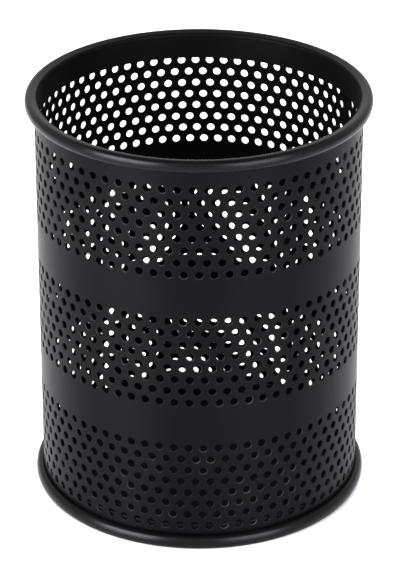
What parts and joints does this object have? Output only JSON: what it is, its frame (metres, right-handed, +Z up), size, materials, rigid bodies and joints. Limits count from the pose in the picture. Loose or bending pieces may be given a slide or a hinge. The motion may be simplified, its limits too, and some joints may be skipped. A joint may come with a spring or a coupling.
{
  "type": "pen holder cup",
  "caption": "Round desk cup for pens in perforated sheet steel, with a rolled rim, a rolled foot ring and a dished floor.",
  "frame": {"origin": "centre of the foot, on the table", "axes": "+Z up along the cup's axis, -Y towards the front, +X to the right seen from the front"},
  "size_m": [0.0818, 0.0818, 0.1015],
  "materials": {
    "wall_coat": "satin black powder coat on perforated sheet steel",
    "ring_coat": "semi-gloss black powder coat on rolled steel rings",
    "pan_coat": "satin black powder coat on the pressed floor"
  },
  "bodies": {
    "root": {"perforated_wall_upper": "wall_coat", "perforated_wall_middle": "wall_coat", "perforated_wall_lower": "wall_coat", "top_rim": "ring_coat", "foot_ring": "ring_coat", "floor_pan": "pan_coat"}
  },
  "joints": []
}
